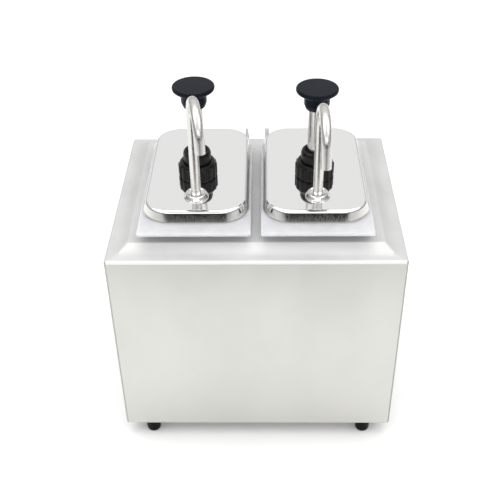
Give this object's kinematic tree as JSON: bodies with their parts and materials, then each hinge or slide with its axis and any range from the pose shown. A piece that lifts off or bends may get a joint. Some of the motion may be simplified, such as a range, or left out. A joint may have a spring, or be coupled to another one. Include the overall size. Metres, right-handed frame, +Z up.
{
  "type": "condiment pump dispenser",
  "caption": "Countertop sauce dispenser: a folded steel box holds lift-out buckets, each under a steel lid with a hand pump and a swivelling gooseneck spout.",
  "frame": {"origin": "on the counter, under the centre of the whole object's bounding box", "axes": "+Z up, -Y towards the user (the side the spouts reach over), +X to the user's right"},
  "size_m": [0.255, 0.2262, 0.3551],
  "materials": {
    "panel_steel": "fine satin stainless sheet",
    "deck_steel": "satin stainless sheet",
    "polished_steel": "mirror-polished stainless",
    "steel_tube": "drawn stainless tube and bar",
    "spring_steel": "bright stainless wire and balls",
    "screw_steel": "zinc-plated or stainless hardware",
    "rivet": "satin",
    "bucket_plastic": "white moulded polypropylene",
    "white_plastic": "white moulded acetal",
    "black_plastic": "black moulded plastic",
    "knob_plastic": "black satin-gloss plastic",
    "foot_rubber": "black rubber",
    "seal_rubber": "food-grade rubber",
    "brass": "turned brass"
  },
  "bodies": {
    "housing": {"housing_wrap": "panel_steel", "back_panel": "panel_steel", "back_rivets": "rivet", "base_plate": "panel_steel", "top_deck": "deck_steel", "rear_tabs": "deck_steel", "feet": "foot_rubber", "foot_screws": "screw_steel", "foot_nuts": "screw_steel"},
    "left_bucket": {"left_bucket": "bucket_plastic"},
    "left_lid": {"left_lid": "polished_steel", "left_lid_gasket": "seal_rubber", "left_pump_head": "black_plastic", "left_collar_nut": "black_plastic", "left_guide_bush": "black_plastic", "left_rod_seal": "seal_rubber", "left_cylinder": "steel_tube", "left_valve_block": "white_plastic", "left_suction_tube": "white_plastic", "left_riser_tube": "steel_tube", "left_riser_ferrule": "screw_steel", "left_union_washer": "seal_rubber", "left_union_nut": "polished_steel"},
    "left_plunger": {"left_piston_rod": "steel_tube", "left_piston": "white_plastic", "left_piston_seal": "seal_rubber", "left_piston_nut": "screw_steel", "left_knob": "knob_plastic", "left_knob_insert": "brass", "left_return_spring": "spring_steel"},
    "left_spout": {"left_spout": "polished_steel", "left_spout_collar": "screw_steel"},
    "left_inlet_ball": {"left_inlet_ball": "spring_steel"},
    "left_outlet_ball": {"left_outlet_ball": "spring_steel"},
    "right_bucket": {"right_bucket": "bucket_plastic"},
    "right_lid": {"right_lid": "polished_steel", "right_lid_gasket": "seal_rubber", "right_pump_head": "black_plastic", "right_collar_nut": "black_plastic", "right_guide_bush": "black_plastic", "right_rod_seal": "seal_rubber", "right_cylinder": "steel_tube", "right_valve_block": "white_plastic", "right_suction_tube": "white_plastic", "right_riser_tube": "steel_tube", "right_riser_ferrule": "screw_steel", "right_union_washer": "seal_rubber", "right_union_nut": "polished_steel"},
    "right_plunger": {"right_piston_rod": "steel_tube", "right_piston": "white_plastic", "right_piston_seal": "seal_rubber", "right_piston_nut": "screw_steel", "right_knob": "knob_plastic", "right_knob_insert": "brass", "right_return_spring": "spring_steel"},
    "right_spout": {"right_spout": "polished_steel", "right_spout_collar": "screw_steel"},
    "right_inlet_ball": {"right_inlet_ball": "spring_steel"},
    "right_outlet_ball": {"right_outlet_ball": "spring_steel"}
  },
  "joints": [
    {"name": "left_bucket_lift", "type": "slide", "parent": "housing", "child": "left_bucket", "axis": [0, 0, 1], "range_m": [0, 0.215]},
    {"name": "left_lid_lift", "type": "slide", "parent": "left_bucket", "child": "left_lid", "axis": [0, 0, 1], "range_m": [0, 0.21]},
    {"name": "left_plunger_press", "type": "slide", "parent": "left_lid", "child": "left_plunger", "axis": [0, 0, -1], "range_m": [0, 0.038], "stiffness_N_per_m": 250, "springref_m": -0.02, "deforming": ["left_return_spring"]},
    {"name": "left_spout_swivel", "type": "hinge", "parent": "left_lid", "child": "left_spout", "pos_m": [-0.0498, -0.05778, 0.243], "axis": [0, 0, 1], "range_deg": [-71.2, 48.8]},
    {"name": "left_inlet_ball_lift", "type": "slide", "parent": "left_lid", "child": "left_inlet_ball", "axis": [0, 0, 1], "range_m": [0, 0.003]},
    {"name": "left_outlet_ball_lift", "type": "slide", "parent": "left_lid", "child": "left_outlet_ball", "axis": [0, 0, 1], "range_m": [0, 0.003]},
    {"name": "right_bucket_lift", "type": "slide", "parent": "housing", "child": "right_bucket", "axis": [0, 0, 1], "range_m": [0, 0.215]},
    {"name": "right_lid_lift", "type": "slide", "parent": "right_bucket", "child": "right_lid", "axis": [0, 0, 1], "range_m": [0, 0.21]},
    {"name": "right_plunger_press", "type": "slide", "parent": "right_lid", "child": "right_plunger", "axis": [0, 0, -1], "range_m": [0, 0.038], "stiffness_N_per_m": 250, "springref_m": -0.02, "deforming": ["right_return_spring"]},
    {"name": "right_spout_swivel", "type": "hinge", "parent": "right_lid", "child": "right_spout", "pos_m": [0.052, -0.05778, 0.243], "axis": [0, 0, 1], "range_deg": [-61.9, 58.1]},
    {"name": "right_inlet_ball_lift", "type": "slide", "parent": "right_lid", "child": "right_inlet_ball", "axis": [0, 0, 1], "range_m": [0, 0.003]},
    {"name": "right_outlet_ball_lift", "type": "slide", "parent": "right_lid", "child": "right_outlet_ball", "axis": [0, 0, 1], "range_m": [0, 0.003]}
  ]
}
